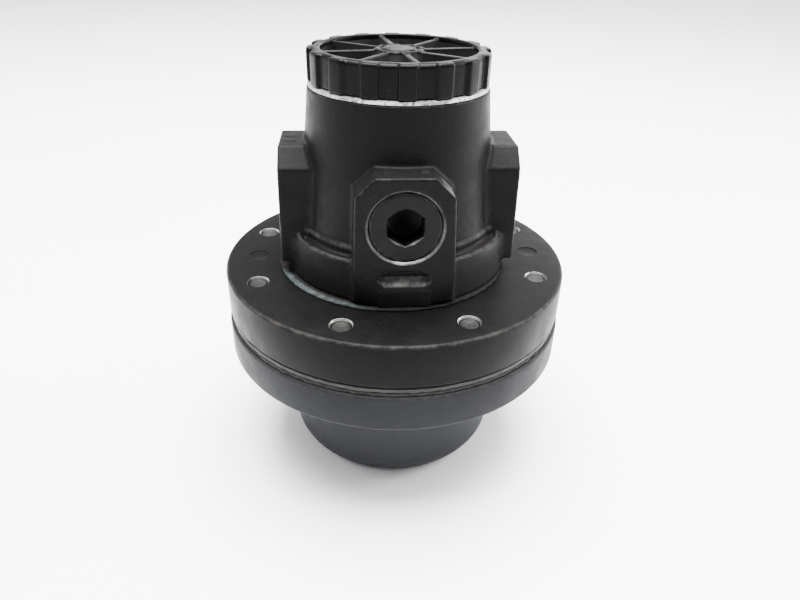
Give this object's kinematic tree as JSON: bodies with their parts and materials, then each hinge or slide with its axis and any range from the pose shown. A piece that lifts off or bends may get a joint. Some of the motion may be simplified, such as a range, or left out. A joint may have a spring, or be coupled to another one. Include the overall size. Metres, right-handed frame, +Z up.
{
  "type": "diaphragm pressure regulator",
  "caption": "Pneumatic pressure regulator with a wide clamped diaphragm flange, tapered ported body, plugged gauge ports, ribbed bottom plug and short spring bonnet.",
  "frame": {"origin": "centre of the flat end of the bonnet, on the surface that the regulator stands on", "axes": "+Z up along the valve axis, from the bonnet to the bottom plug; inlet towards -X, outlet towards +X, plugged gauge ports towards -Y and +Y"},
  "size_m": [0.1112, 0.1112, 0.134],
  "materials": {
    "cast_body": "satin black paint on a die casting",
    "fibre_gasket": "blue-grey fibre sheet",
    "flange_paint": "satin black paint",
    "black_oxide": "black oxide",
    "bonnet_paint": "satin black paint, slightly blue",
    "zinc_steel": "dull zinc",
    "dark_gasket": "compressed fibre",
    "diaphragm_rubber": "fabric-reinforced rubber",
    "plate_aluminium": "turned",
    "brass": "turned",
    "spring_steel": "oiled spring wire",
    "bronze": "sintered",
    "seal_rubber": "smooth",
    "acetal": "moulded",
    "plug_plastic": "moulded, glass-filled",
    "bare_alloy": "bare, chipped edge"
  },
  "bodies": {
    "housing": {"body": "cast_body", "body_gasket": "fibre_gasket", "upper_flange": "flange_paint", "body_screws": "black_oxide", "bonnet": "bonnet_paint", "flange_screws": "zinc_steel", "flange_gasket": "dark_gasket", "diaphragm": "diaphragm_rubber", "lock_nut": "zinc_steel", "stem_bush": "bronze", "valve_seat": "brass", "seat_o_ring": "seal_rubber", "plug_seal_ring": "bare_alloy", "front_port_plug": "black_oxide", "rear_port_plug": "black_oxide", "range_spring": "spring_steel", "valve_spring": "spring_steel"},
    "diaphragm_stack": {"upper_plate": "plate_aluminium", "lower_plate": "plate_aluminium", "diaphragm_bolt": "brass", "diaphragm_nut": "zinc_steel"},
    "valve": {"valve_stem": "zinc_steel", "valve_poppet": "brass", "valve_seal": "seal_rubber"},
    "spring_seat": {"spring_button": "zinc_steel"},
    "adjuster": {"adjusting_screw": "black_oxide"},
    "plug_rise": {"plug_o_ring": "seal_rubber"},
    "plug": {"bottom_plug": "plug_plastic", "valve_guide": "acetal", "guide_o_ring": "seal_rubber"}
  },
  "joints": [
    {"name": "diaphragm_lift", "type": "slide", "parent": "housing", "child": "diaphragm_stack", "axis": [0, 0, 1], "range_m": [0, 0.0025], "deforming": ["diaphragm"]},
    {"name": "valve_lift", "type": "slide", "parent": "housing", "child": "valve", "axis": [0, 0, 1], "range_m": [0, 0.0025], "stiffness_N_per_m": 600, "springref_m": -0.004, "deforming": ["valve_spring"]},
    {"name": "spring_seat_rise", "type": "slide", "parent": "housing", "child": "spring_seat", "axis": [0, 0, 1], "range_m": [0, 0.006], "deforming": ["range_spring"]},
    {"name": "adjuster_turn", "type": "hinge", "parent": "spring_seat", "child": "adjuster", "pos_m": [0, 0, 0.012], "axis": [0, 0, 1], "range_deg": [0, 1440]},
    {"name": "plug_rise", "type": "slide", "parent": "housing", "child": "plug_rise", "axis": [0, 0, 1], "range_m": [0, 0.0135]},
    {"name": "plug_turn", "type": "hinge", "parent": "plug_rise", "child": "plug", "pos_m": [0, 0, 0.1238], "axis": [0, 0, 1], "range_deg": [0, 3240]}
  ],
  "couplings": [
    {"joint": "valve_lift", "follows": "diaphragm_lift", "ratio": 1},
    {"joint": "adjuster_turn", "follows": "spring_seat_rise", "rad_per_m": 4188.8},
    {"joint": "plug_turn", "follows": "plug_rise", "rad_per_m": 4188.8}
  ]
}
